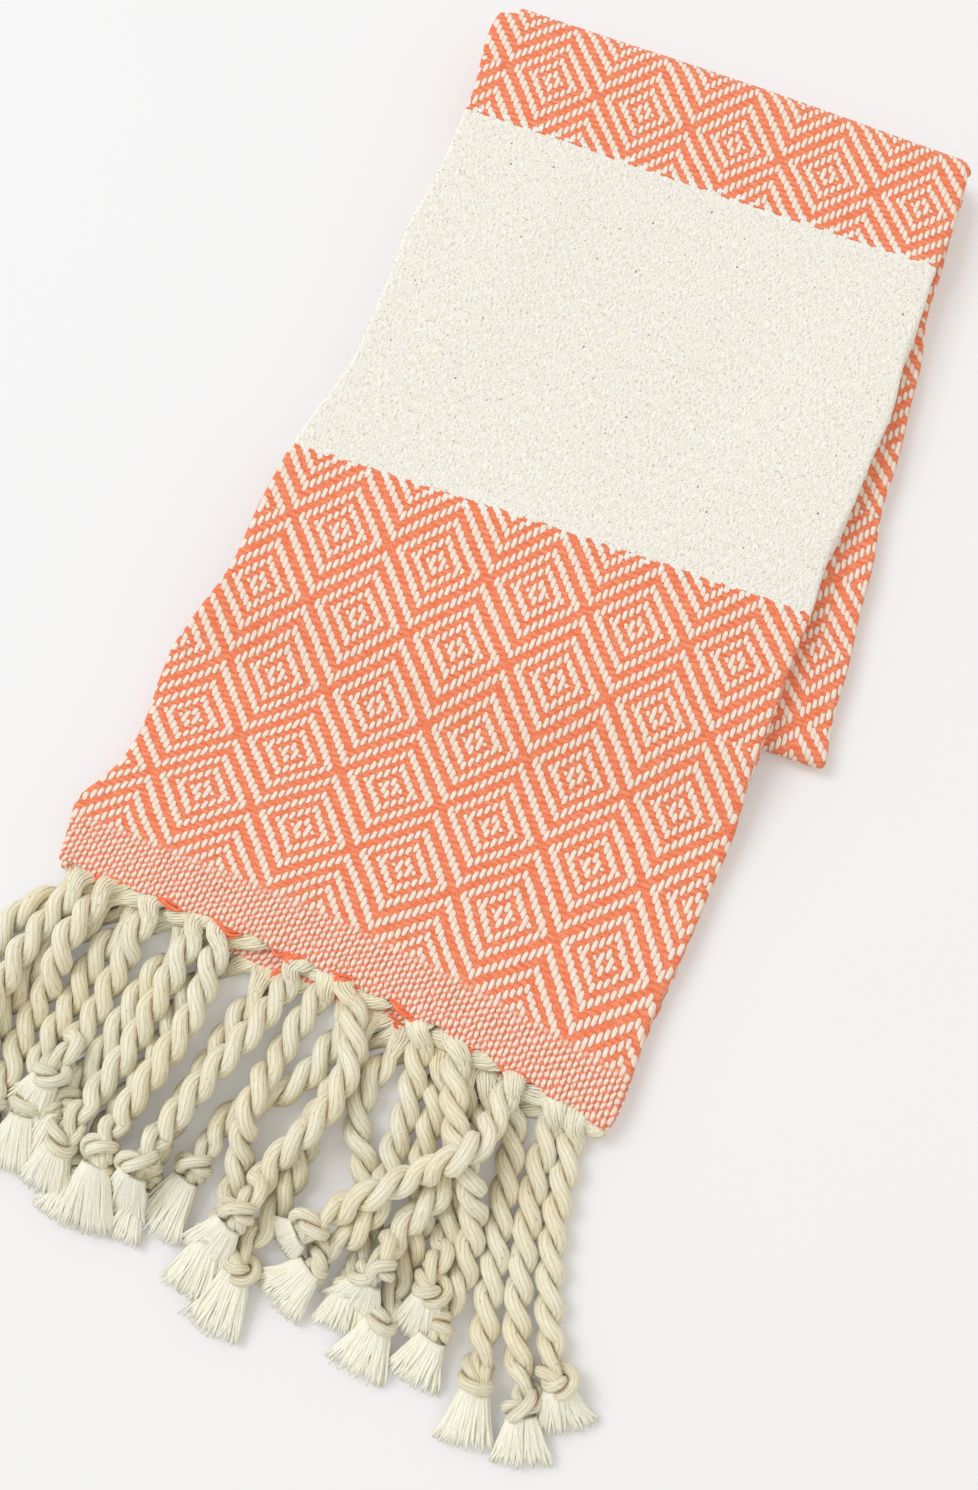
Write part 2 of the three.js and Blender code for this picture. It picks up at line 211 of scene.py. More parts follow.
def place(sheet, across, y, z):
    """Carries the neat pile to the lay. x runs from the strip's left edge to its right edge.
    y is shifted by the cut end's slant, which fades out up the strip, and by a scallop at each
    tassel. z drops by the step, swells gently, and gets the soft relief, which lifts the upper
    sheets more than the lower."""
    left_table = (UNDER_Y, UNDER_LEFT) if sheet == UNDER else (LEFT_Y, FRONT_LEFT)
    right_table = (UNDER_Y, UNDER_RIGHT) if sheet == UNDER else (RIGHT_Y, FRONT_RIGHT)
    left = smooth_curve(*left_table, y) + edge_wander(y, sheet)
    right = smooth_curve(*right_table, y) + edge_wander(y + 60, sheet)
    centre = (left + right) / 2
    rounding = TOP_ROUNDING * smooth_step(y, TOP_FOLD_Y - 4, TOP_FOLD_Y + 8)
    x = centre + across * (right - left - 2 * rounding) / (2 * HALF_PANEL)
    top_skew = (0.04 * (centre - x) - 1.5) * smooth_step(y, TOP_FOLD_Y / 2, TOP_FOLD_Y)
    end_shift = np.zeros_like(x)
    drop = np.zeros_like(x)
    if sheet != UNDER:
        slant = smooth_curve(CUT_ACROSS, CUT_ENDS[sheet], across)
        scallop = -SCALLOP * np.cos(2 * np.pi * (across + 3) / SCALLOP_PITCH)
        near_end = 1 - smooth_step(y, END_Y, SLANT_TOP_Y)
        at_end = 1 - smooth_step(y, END_Y, END_Y + SCALLOP_FADES_OVER)
        end_shift = (slant - END_Y) * near_end + scallop * at_end
        drop = STEP_DOWN * (1 - smooth_step(y, STEP_FOOT_Y, STEP_TOP_Y))
    swell = 1 + 0.05 * np.sin(x / 24 + 0.6) * np.sin(y / 33 + 1.1)
    height = (z - drop) * swell
    share = np.clip(height / 15, 0, 1.1) ** 1.5
    height = height + share * soft_relief(x, y)
    return np.stack([x, y + top_skew + end_shift, GROUND + height], -1)


# %% [markdown]
# Real folded cotton is never quite flat. A few long troughs and ridges are listed, each with
# its own place, direction, length, width and height, and each fades out at its ends.

# %% Soft troughs and ridges of the top sheet
RIDGES = [
    # x, y, direction in degrees, length, width, height
    (-30, 120, 78, 70, 14, 0.5),
    (45, 95, 70, 60, 18, -0.6),
    (20, 175, 8, 60, 10, -0.5),
    (-10, 35, 12, 80, 12, 0.45),
    (60, 30, 60, 40, 12, 0.5),
    (-45, -20, 35, 45, 12, -0.6),
    (20, -30, 80, 60, 14, 0.6),
    (-20, -70, 65, 40, 10, 0.5),
    (45, -75, 100, 36, 10, -0.5),
    (-62, -70, 110, 30, 9, 0.6),
]


def soft_relief(x, y):
    """The sum of the ridges: each is a bell curve across its width times a bell along its
    length, turned to its own direction."""
    relief = np.zeros_like(x)
    for centre_x, centre_y, degrees, length, width, rise in RIDGES:
        turn = math.radians(degrees)
        along = (x - centre_x) * math.cos(turn) + (y - centre_y) * math.sin(turn)
        aside = (y - centre_y) * math.cos(turn) - (x - centre_x) * math.sin(turn)
        relief += rise * np.exp(-((along / length) ** 2) * 2 - (aside / width) ** 2 * 2)
    return relief


print("relief over the top:", soft_relief(np.linspace(-60, 60, 5), np.zeros(5)).round(2))

# %% The way across the width: flap, side fold, middle panel, side fold, flap
LEFT_RADIUS, RIGHT_RADIUS = PITCH / 2, PITCH
FOLD_LEFT = -HALF_PANEL + CLOTH / 2 + LEFT_RADIUS
FOLD_RIGHT = HALF_PANEL - CLOTH / 2 - RIGHT_RADIUS


def across_stations():
    """Each station has its place across, its height, the direction that points out of the
    cloth's outer side, and its run: its place on the cloth when the folds are opened."""
    flap_end = HALF_PANEL - FLAP_SHORT_BY
    rows = []

    def straight(start, end, height, out, count, run_at):
        a = np.linspace(start, end, count)
        rows.append(np.stack([a, a * 0 + height, a * 0, a * 0 + out, run_at(a)], 1))

    def fold(centre, radius, start_degrees, end_degrees, count, run_start, run_end):
        angle = np.radians(np.linspace(start_degrees, end_degrees, count + 2)[1:-1])
        share = np.linspace(0, 1, count + 2)[1:-1]
        rows.append(np.stack([
            centre + radius * np.cos(angle), -radius + radius * np.sin(angle),
            np.cos(angle), np.sin(angle), run_start + (run_end - run_start) * share,
        ], 1))

    left_turn, right_turn = math.pi * LEFT_RADIUS, math.pi * RIGHT_RADIUS
    straight(flap_end, FOLD_LEFT, -2 * LEFT_RADIUS, -1, 14,
             lambda a: FOLD_LEFT - left_turn - (a - FOLD_LEFT))
    fold(FOLD_LEFT, LEFT_RADIUS, -90, -270, 7, FOLD_LEFT - left_turn, FOLD_LEFT)
    straight(FOLD_LEFT, FOLD_RIGHT, 0, 1, 61, lambda a: a)
    fold(FOLD_RIGHT, RIGHT_RADIUS, 90, -90, 9, FOLD_RIGHT, FOLD_RIGHT + right_turn)
    straight(FOLD_RIGHT, -flap_end, -2 * RIGHT_RADIUS, -1, 14,
             lambda a: FOLD_RIGHT + right_turn + (FOLD_RIGHT - a))
    return np.concatenate(rows)


width = across_stations()
print("stations across:", len(width), "opened width in mm:", round(width[-1, 4] - width[0, 4]))

# %% The way along the length: front, top fold, under, middle fold, and back


def along_stretches():
    """Stretches of the middle panel's path. Each has its sheet, the y and z of every row, the
    direction of the cloth's outer side, and the length run so far from the first cut end."""
    pile = 4 * STRIP - (PITCH - CLOTH)
    first_z, second_z = pile - CLOTH / 2, 2 * STRIP + CLOTH / 2
    upper_z, lower_z = 2 * STRIP - (PITCH - CLOTH) - CLOTH / 2, CLOTH / 2
    top_z = pile / 2
    middle_z = (upper_z + lower_z) / 2
    stretches = []
    run = 0.0

    def straight(sheet, start, end, z, out, step):
        nonlocal run
        count = int(abs(end - start) / step) + 1
        y = np.linspace(start, end, count)
        if END_Y in (start, end):
            cut_rows = np.array([0.15, 0.4, 0.8]) + END_Y
            y = np.unique(np.concatenate([y, cut_rows]))[:: 1 if end > start else -1]
        stretches.append((sheet, y, y * 0 + z, y * 0, y * 0 + out, run + abs(y - start)))
        run += abs(end - start)

    def fold(centre_y, centre_z, radius, start_degrees, end_degrees, facing, count):
        nonlocal run
        share = np.linspace(0, 1, count + 2)[1:-1]
        angle = np.radians(start_degrees + (end_degrees - start_degrees) * share)
        turn = math.pi * radius
        stretches.append((UNDER, centre_y + radius * np.cos(angle),
                          centre_z + radius * np.sin(angle), facing * np.cos(angle),
                          facing * np.sin(angle), run + turn * share))
        run += turn

    straight(FIRST, END_Y, TOP_FOLD_Y, first_z, 1, 2.6)
    fold(TOP_FOLD_Y, top_z, first_z - top_z, 90, -90, 1, 14)
    straight(UNDER, TOP_FOLD_Y, MIDDLE_FOLD_Y, lower_z, -1, 6)
    fold(MIDDLE_FOLD_Y, middle_z, middle_z - lower_z, -90, -270, 1, 8)
    straight(UNDER, MIDDLE_FOLD_Y, TOP_FOLD_Y, upper_z, 1, 3)
    fold(TOP_FOLD_Y, top_z, second_z - top_z, -90, 90, -1, 6)
    straight(SECOND, TOP_FOLD_Y, END_Y, second_z, -1, 4)
    return stretches, run


stretches, cloth_length = along_stretches()
print("length between the cut ends in mm:", round(cloth_length))

# %% [markdown]
# ## Threads and picks as a UV map
# The diamond weave has to follow every fold, so the UV map is written in the weaver's own
# units: u counts warp threads from a diamond's middle, and v counts picks (rows of weft) from
# one end. A thread is 1.5 mm wide and a pick 1.607 mm high, so a diamond is 20 threads wide
# and 28 picks high. The counts are the same on both sides of the towel's middle, so the
# weave mirrors there as it would on the loom.

# %% Thread and pick counts
THREAD = 1.5
END_STRETCH = 0.057
CORAL_END = 148.5
BAND = 119.0
REFERENCE_Y = [-120, -85, -60, -30, 10, 60, 110, 165, 195]
REFERENCE_X = [-66, -63.5, -58.5, -53, -49.6, -46.2, -42.8, -39, -37]
PRESSED = SLANT_TOP_Y - END_Y
weave_length = cloth_length + 2 * END_STRETCH * PRESSED
EDGES_MM = np.cumsum([0, CORAL_END, BAND, weave_length - 2 * (CORAL_END + BAND), BAND, CORAL_END])
EDGE_PICKS = np.array([-23.3, 69.1, 156.3, 460.7, 547.9, 640.3])
MIDDLE_PICK = float(EDGE_PICKS.mean())
HALF_MIDDLE = float(EDGE_PICKS[3] - EDGE_PICKS[2]) / 2
HALF_BANDS = float(EDGE_PICKS[4] - EDGE_PICKS[1]) / 2
HALF_WEAVE = float(EDGE_PICKS[5] - MIDDLE_PICK)


def thread_count(x, y, sheet, past_fold):
    """Warp threads from the reference thread: the distance from it, plus what lies past the
    side fold, over one thread's width. The reference thread leans as the strip does."""
    if sheet == UNDER:
        reference = REFERENCE_X[-1] + 0.06 * (TOP_FOLD_Y - np.minimum(y, TOP_FOLD_Y))
        return (x - reference + past_fold) / THREAD
    reference = smooth_curve(REFERENCE_Y, REFERENCE_X, y)
    fanned = 1 + 0.03 * (1 - smooth_step(y, END_Y, 20))
    return ((x - reference) / fanned + past_fold) / THREAD


def pick_count(run):
    """Picks from the first cut end. The weave is pressed together a little near both ends."""
    press = END_STRETCH * np.minimum(run, PRESSED)
    press = press + END_STRETCH * np.maximum(run - (cloth_length - PRESSED), 0)
    return np.interp(run + press, EDGES_MM, EDGE_PICKS)


print("stripe edges in mm:", EDGES_MM.round(1))

# %% Build the sheet
ROUND_CUT = 0.7


def cloth_grid():
    """For each row along the length, the outline of the cloth's section: the outer side one
    way and the inner side back, half a thickness to each side of the middle surface. The
    sheet gets thinner over its last 0.7 mm, which rounds the two cut ends."""
    a, b, out_a, out_b, run_across = width.T
    kept = np.clip(run_across, FOLD_LEFT, FOLD_RIGHT)
    grids, uvs = [], []
    for sheet, y, z, out_y, out_z, run in stretches:
        sides, uv_sides = [], []
        to_end = np.clip(np.minimum(run, cloth_length - run) / ROUND_CUT, 0.05, 1)[:, None]
        half = CLOTH / 2 * np.sqrt(1 - (1 - to_end) ** 2)
        for side in (1, -1):
            across = a[None, :] + side * half * out_a[None, :]
            height = b[None, :] + side * half * out_b[None, :]
            y_here = y[:, None] + height * out_y[:, None]
            z_here = z[:, None] + height * out_z[:, None]
            sides.append(place(sheet, across, y_here, z_here))
            flat = place(sheet, kept[None, :] + 0 * y_here, y[:, None] + 0 * y_here, z_here)
            threads = thread_count(flat[..., 0], y[:, None], sheet, run_across - kept)
            uv_sides.append(np.stack([threads, pick_count(run)[:, None] + 0 * threads], -1))
        grids.append(np.concatenate([sides[0], sides[1][:, ::-1]], 1))
        uvs.append(np.concatenate([uv_sides[0], uv_sides[1][:, ::-1]], 1))
    return np.concatenate(grids), np.concatenate(uvs)


def cloth_mesh():
    """Joins the rings, and caps the two cut ends with strips between outer and inner side."""
    grid, uv = cloth_grid()
    rings, count = grid.shape[:2]
    i = np.arange(count // 2 - 1)
    cap = np.stack([i, count - 1 - i, count - 2 - i, i + 1], 1)
    faces = np.concatenate([wall_faces(rings, count), cap, cap[:, ::-1] + (rings - 1) * count])
    return new_piece("woven_towel", grid.reshape(-1, 3), [faces], uv.reshape(-1, 2))


woven_towel = cloth_mesh()

# %% [markdown]
# ## A bench for shader nodes
# A weave is arithmetic on the thread and pick counts, so its material is mostly Math nodes.
# `Reading` is a node's output that can be added and multiplied like a plain number, and the
# bench adds one node per call, which keeps the sums readable.

# %% The node bench


def paint(red, green, blue):
    """An 0 to 255 display colour as the linear colour that a socket takes."""
    value = np.array([red, green, blue]) / 255
    linear = np.where(value <= 0.04045, value / 12.92, ((value + 0.055) / 1.055) ** 2.4)
    return (*linear.tolist(), 1.0)


class Reading:
    """A node's output. Each sum or product with it lays out one more Math node."""

    def __init__(self, bench, socket):
        self.bench = bench
        self.socket = socket

    def __add__(self, other):
        return self.bench.math("ADD", self, other)

    def __sub__(self, other):
        return self.bench.math("SUBTRACT", self, other)

    def __mul__(self, other):
        return self.bench.math("MULTIPLY", self, other)

    def __truediv__(self, other):
        return self.bench.math("DIVIDE", self, other)

    def scaled(self, factor, offset):
        """Itself times a factor, plus an offset."""
        return self.bench.math("MULTIPLY_ADD", self, factor, offset)

    def swung(self, amount):
        """A noise from 0 to 1 as a swing of this amount, half to each side of 0."""
        return self.scaled(amount, -amount / 2)


class NodeBench:
    """Lays out one material's nodes."""

    def __init__(self, name):
        self.material = bpy.data.materials.new(name)
        self.material.use_nodes = True
        self.tree = self.material.node_tree
        self.tree.nodes.clear()

    def add(self, kind, inputs=None, output=0, **settings):
        node = self.tree.nodes.new("ShaderNode" + kind)
        for key, value in settings.items():
            setattr(node, key, value)
        for socket, value in (inputs or {}).items():
            if isinstance(value, Reading):
                self.tree.links.new(value.socket, node.inputs[socket])
            else:
                node.inputs[socket].default_value = value
        return Reading(self, node.outputs[output]) if len(node.outputs) else node

    def math(self, operation, *values):
        return self.add("Math", dict(enumerate(values)), operation=operation)

    def mix(self, share, first, second):
        return self.add("Mix", {0: share, 6: first, 7: second}, 2, data_type="RGBA")

    def mix_numbers(self, share, first, second):
        return self.add("Mix", {0: share, 2: first, 3: second}, data_type="FLOAT")

    def step(self, value, start, end):
        return self.add("MapRange", {"Value": value, "From Min": start, "From Max": end},
                        interpolation_type="SMOOTHSTEP")

    def ramp(self, value, stops):
        reading = self.add("ValToRGB", {0: value})
        ramp = reading.socket.node.color_ramp
        ramp.interpolation = "EASE"
        while len(ramp.elements) < len(stops):
            ramp.elements.new(0.5)
        for element, (position, level) in zip(ramp.elements, stops):
            element.position = position
            element.color = (level, level, level, 1)
        return reading

    def noise(self, vector, scale, detail=2.0, roughness=0.5):
        return self.add("TexNoise", {"Vector": vector, "Scale": scale, "Detail": detail,
                                     "Roughness": roughness})

    def uv(self):
        """The piece's two UV counts."""
        split = self.add("SeparateXYZ", {0: self.add("UVMap", uv_map="threads")})
        return [Reading(self, socket) for socket in split.socket.node.outputs[:2]]

    def uv_noise(self, u, v, detail=1.0, roughness=0.5, seed=0.0):
        """Noise on two scaled UV counts. Another seed takes another slice of the noise."""
        place_at = self.add("CombineXYZ", {0: u, 1: v, 2: seed})
        return self.noise(place_at, 1.0, detail, roughness)

    def painted_shade(self):
        """How much painted shade a point gets, stored on the piece: more deep between strands and near
        the table.
        """
        return self.add("Attribute", None, "Fac", attribute_name="painted_shade")

    def surface(self, colour, height, depth, roughness, **fixed):
        """The shader: a colour, and a height that roughens the surface to a depth in metres."""
        bump = self.add("Bump", {"Height": height, "Distance": depth, "Strength": 1.0})
        inputs = {"Base Color": colour, "Roughness": roughness, "Normal": bump}
        inputs.update({key.replace("_", " "): value for key, value in fixed.items()})
        return self.add("BsdfPrincipled", inputs)

    def finish(self, shader):
        """The material, once its shader is joined to the output."""
        self.add("OutputMaterial", {0: shader})
        return self.material


# %% [markdown]
# ## The diamond weave
# A point twill: warp threads are counted up and down between two mirror lines ten threads
# apart, and picks between mirror lines fourteen picks apart. The sum of the two counts is the
# same along each side of a diamond, so rings of long cream floats appear where that sum falls
# in one of four bands. Each float is a raised oval on its own thread, leaning a little.

# %% Woven cotton
FULL_TURN = 2 * math.pi
MIRROR_THREADS, MIRROR_PICKS, HALF_SUM = 10, 14, 12
FLOAT_BANDS = [(0.75, 2.25), (3.9, 5.4), (7.2, 8.85), (11.15, 12.85)]
FLOAT_SOFTNESS = 0.65
DOT_PICKS, DOTTED_PICKS = 1.43, 9
THREAD_EDGE = (0.3, 0.48)


def float_stops():
    """Where the floats rise and fall, as places from 0 to 1 along the twelve-step sum."""
    stops = []
    for start, end in FLOAT_BANDS:
        for edge, before, after in ((start, 0, 1), (end, 1, 0)):
            stops += [(edge - FLOAT_SOFTNESS, before), (edge + FLOAT_SOFTNESS, after)]
    return [(max(at, 0) / HALF_SUM, level) for at, level in stops if at < HALF_SUM]


def woven_cotton():
    """Builds the cloth's material from the thread count and the pick count."""
    bench = NodeBench("woven_cotton")
    mix, step = bench.mix, bench.step
    threads, picks = bench.uv()

    def noise(across, along, seed=0.0, detail=1.0):
        return bench.uv_noise(threads * across, picks * along, detail, seed=seed)

    # no loom is perfect: picks drift slowly, and each float ends a little early or late
    jitter = noise(0.8, 0.5, 3.0)
    loose = noise(0.06, 0.06).swung(1.6) + jitter.swung(0.7)

    # the float ovals: on twill lines that fall to the right they lean and touch
    thread = bench.math("ROUND", threads)
    aside = threads - thread
    falling = step(bench.math("SINE", thread * (math.pi / MIRROR_THREADS))
                   * bench.math("SINE", picks * (math.pi / MIRROR_PICKS)), -0.12, 0.12)
    leaning = picks + loose + aside * 0.6 * falling
    total = (bench.math("PINGPONG", thread, MIRROR_THREADS)
             + bench.math("PINGPONG", leaning, MIRROR_PICKS))
    folded = bench.math("SUBTRACT", HALF_SUM, bench.math("ABSOLUTE", total - HALF_SUM))
    rise = bench.ramp(folded / HALF_SUM, float_stops())
    oval = rise - aside * aside * falling.scaled(-1.1, 2.5) + noise(2.6, 1.6, 9.0, 2.0).swung(0.8)
    between_threads = step(bench.math("ABSOLUTE", aside), *THREAD_EDGE)
    on_float = step(rise, 0.3, 0.8)
    # painted shade in the gaps between neighbouring floats, stronger where the floats do not touch
    float_gap_shade = between_threads * on_float * falling.scaled(-0.4, 0.7)

    # the dotted plain weave of the last picks
    phase = aside.scaled(-0.5, picks + jitter.swung(1.6)) / DOT_PICKS + thread * 0.5
    dots = bench.math("COSINE", phase * FULL_TURN).scaled(0.5, 0.5) - aside * aside * 5.0

    # the stripes, counted from the towel's middle
    from_middle = bench.math("ABSOLUTE", picks - MIDDLE_PICK) + jitter.swung(1.0)
    bite = on_float * 1.6
    in_band = (bench.math("GREATER_THAN", from_middle + bite, HALF_MIDDLE)
               * bench.math("LESS_THAN", from_middle - bite, HALF_BANDS))
    last_picks = HALF_WEAVE - DOTTED_PICKS
    in_dots = step(from_middle, last_picks - 1.4, last_picks + 1.0)

    # the diamonds' colours, with painted shade between picks, between floats and round each float
    fibre = noise(5.0, 1.1, detail=3.0)
    weft_tone = noise(0.5, 1.3)
    pick_wave = bench.math("COSINE", picks * FULL_TURN)
    between_picks = step(pick_wave, 0.1, -0.9)
    coral = mix(step(weft_tone, 0.32, 0.68), paint(247, 121, 77), paint(255, 150, 110))
    coral = mix(step(fibre, 0.45, 0.8), coral, paint(254, 168, 134))
    # painted shade: the coral is coloured darker between picks, and darkest in the small holes where
    # picks and threads cross
    coral = mix(between_picks * 0.3, coral, paint(222, 100, 62))
    coral = mix(between_picks * between_threads * 0.45, coral, paint(176, 96, 62))
    cream = mix(step(fibre, 0.3, 0.7), paint(249, 218, 195), paint(255, 242, 226))
    shade = paint(166, 108, 74)
    diamonds = mix(step(oval, 0.16, 0.46), coral, cream)
    # painted shade: a dark rim round each float's oval, then the gaps between floats
    rim_shade = step(oval, -0.02, 0.14) * step(oval, 0.42, 0.2)
    diamonds = mix(float_gap_shade, mix(rim_shade * 0.38, diamonds, shade), shade)

    # the dotted weave's colours, with painted shade between its threads
    dot_ground = mix(step(fibre, 0.3, 0.7), paint(230, 120, 86), paint(246, 156, 124))
    dotted = mix(step(dots, -0.08, 0.24), dot_ground, mix(0.5, cream, paint(255, 226, 206)))
    # painted shade: the gaps between threads in the dotted weave are coloured brown
    dot_gap_shade = between_threads * step(weft_tone, 0.38, 0.58)
    dotted = mix(dot_gap_shade * 0.8, dotted, paint(158, 102, 72))

    # the plain bands' colours: nubs of weft and warp, flecks, seed coats and creamy patches
    nub = (noise(1.7, 3.0, detail=2.0) + noise(4.0, 0.6, 5.0, 2.0)) * 0.5
    plain = mix(step(nub, 0.38, 0.62), paint(239, 229, 211), paint(255, 254, 247))
    for spots, start, end, strength, tint in (
            (noise(2.2, 1.1, 7.0), 0.62, 0.7, 0.7, paint(192, 183, 164)),
            (noise(1.2, 0.8, 11.0, 0.0), 0.83, 0.86, 0.8, paint(112, 98, 80)),
            (noise(0.16, 0.16, detail=2.0), 0.62, 0.75, 0.5, paint(246, 243, 212))):
        plain = mix(step(spots, start, end) * strength, plain, tint)
    colour = mix(in_band, mix(in_dots, diamonds, dotted), plain)

    # relief: floats and picks stand up, fibres roughen them
    float_relief = bench.math("MAXIMUM", oval, pick_wave.scaled(0.12, 0.12))
    dot_relief = bench.math("MAXIMUM", dots, 0.0) * 0.8
    relief = bench.mix_numbers(in_dots, float_relief, dot_relief)
    relief = bench.mix_numbers(in_band, relief, float_relief * 0.35 + nub * 1.4) + fibre * 0.35
    return bench.finish(bench.surface(colour, relief, 0.0004, 0.92,
                                      Sheen_Weight=0.12, Specular_IOR_Level=0.25))


WOVEN_COTTON = woven_cotton()
woven_towel.data.materials.append(WOVEN_COTTON)
print("woven cotton uses", len(WOVEN_COTTON.node_tree.nodes), "nodes")

# %% [markdown]
# ## The tassels' routes
# Each tassel is a rope of two strands, knotted near its end and brushed out below the knot.
# A route is written down as a few places on the table: from the cloth's cut end, along the
# rope, to the knot, and then to the middle of the brush's end. `over` says how high it starts
# out, so the ropes settle in the right order.

# %% Routes, in millimetres
UPPER_ROUTES = [
    ([(-82, -98), (-86, -109), (-89, -120), (-92, -140), (-93, -163), (-99, -180)], 1),
    ([(-74, -97), (-79, -110), (-81, -130), (-83, -148), (-84, -164), (-89, -181)], 2),
    ([(-61, -97), (-64, -108), (-66, -122), (-67, -135), (-69, -149), (-77, -166)], 2),
    ([(-47, -98), (-49, -109), (-50, -122), (-52, -136), (-57, -150), (-59, -163), (-60, -181)], 1),
    ([(-41, -98), (-40, -109), (-40, -120), (-43, -138), (-47, -152), (-48, -164), (-46, -186)], 2),
    ([(-17, -99), (-20, -109), (-25, -125), (-30, -138), (-34, -150), (-38, -163), (-40, -179)], 2),
    ([(-7, -100), (-12, -116), (-15, -134), (-16, -147), (-13, -160), (-13, -173), (-16, -192)], 2),
    ([(-3, -101), (3, -112), (6, -123), (5, -132), (1, -142), (-5, -154), (-9, -167), (-16, -182)], 3),
    ([(20, -104), (23, -117), (25, -130), (24, -142), (24, -155), (21, -165), (17, -171), (9, -187)], 2),
    ([(31, -105), (34, -115), (38, -127), (45, -137), (50, -146), (53, -162), (51, -177), (49, -193)], 2),
    ([(49, -108), (48, -119), (45, -130), (37, -138), (28, -146), (19, -155), (11, -164), (4, -172)], 4),
    ([(62, -112), (64, -126), (65, -142), (67, -158), (72, -174), (78, -187), (80, -203)], 1),
    ([(69, -113), (69, -130), (72, -146), (77, -162), (83, -179), (90, -191)], 2),
]
LOWER_ROUTES = [
    ([(-84, -104), (-95, -110), (-100, -124), (-102, -142), (-100, -162), (-100, -180)], 0),
    ([(-74, -105), (-82, -116), (-88, -130), (-91, -145), (-89, -158), (-95, -174)], 0),
    ([(-66, -106), (-71, -117), (-73, -130), (-75, -145), (-75, -160), (-74, -178)], 0),
    ([(-51, -108), (-55, -118), (-58, -131), (-62, -145), (-64, -158), (-66, -176)], 0),
    ([(-41, -109), (-45, -122), (-46, -138), (-50, -152), (-53, -168), (-55, -186)], 0),
    ([(-25, -110), (-28, -122), (-31, -134), (-34, -146), (-36, -157), (-37, -167), (-42, -184)], 0),
    ([(0, -112), (-2, -121), (-5, -130), (-14, -138), (-21, -146), (-25, -161), (-31, -180)], 1),
    ([(7, -112), (5, -124), (1, -140), (1, -158), (-1, -168), (-4, -179), (-3, -199)], 0),
    ([(17, -113), (12, -124), (12, -136), (19, -145), (25, -158), (24, -172), (26, -187)], 0),
    ([(28, -113), (31, -124), (32, -137), (37, -150), (40, -164), (36, -178), (36, -196)], 0),
    ([(37, -114), (41, -128), (44, -142), (45, -154), (45, -167), (46, -182)], 0),
    ([(43, -115), (44, -128), (41, -142), (35, -154), (30, -168), (28, -182)], 1),
    ([(50, -115), (54, -125), (57, -143), (60, -160), (63, -175), (65, -185), (66, -203)], 0),
]
ROUTES = [(points, over, SECOND) for points, over in LOWER_ROUTES]
ROUTES += [(points, over, FIRST) for points, over in UPPER_ROUTES]
print("tassels:", len(ROUTES))

# %% Measuring and reading along a line
UP = np.array([0, 0, 1.0])


def unit(vectors):
    """Each vector at length 1."""
    return vectors / np.linalg.norm(vectors, axis=-1, keepdims=True)


def run_along(line):
    """The distance from a line's start to each of its points."""
    steps = np.linalg.norm(np.diff(line, axis=0), axis=1)
    return np.concatenate([[0], np.cumsum(steps)])


def read_at(at, run, table):
    """Each column of a table, read off at other places along the run."""
    return np.stack([np.interp(at, run, column) for column in table.T], 1)


def evenly(line, count):
    """The same line with this many points at even distances."""
    run = run_along(line)
    return read_at(np.linspace(0, run[-1], count), run, line)


# %% [markdown]
# ## Letting the ropes settle
# Where ropes cross, one has to lie over the other. Every rope is a chain of beads a rope's
# thickness wide. The chains start at their own heights, sink, push each other apart where
# they overlap, are drawn back gently to their routes, and are kept smooth, until they rest.

# %% Settle the ropes
BEADS = 36
ROPE_RADIUS = 3.9
ROOT_HEIGHT = {FIRST: 5.6, SECOND: 2.2}
SETTLING_STEPS = 160
UPPER_LIFT, LEVEL_LIFT = 7, 2.6
KNOT_THICKER = 3.4
LARGEST_OVERLAP, LARGEST_PUSH, PUSH_SHARE, PUSH_UPWARD = 2.0, 1.0, 0.4, 1.3
SINK, PULL_BACK, SMOOTHING = 0.12, 0.12, 0.25


def even_route(points):
    """Places at even distances along the smooth curve through a route's points."""
    points = np.array(points, float)
    chord = run_along(points)
    fine = np.linspace(0, chord[-1], 400)
    return evenly(np.stack([smooth_curve(chord, axis, fine) for axis in points.T], 1), BEADS)


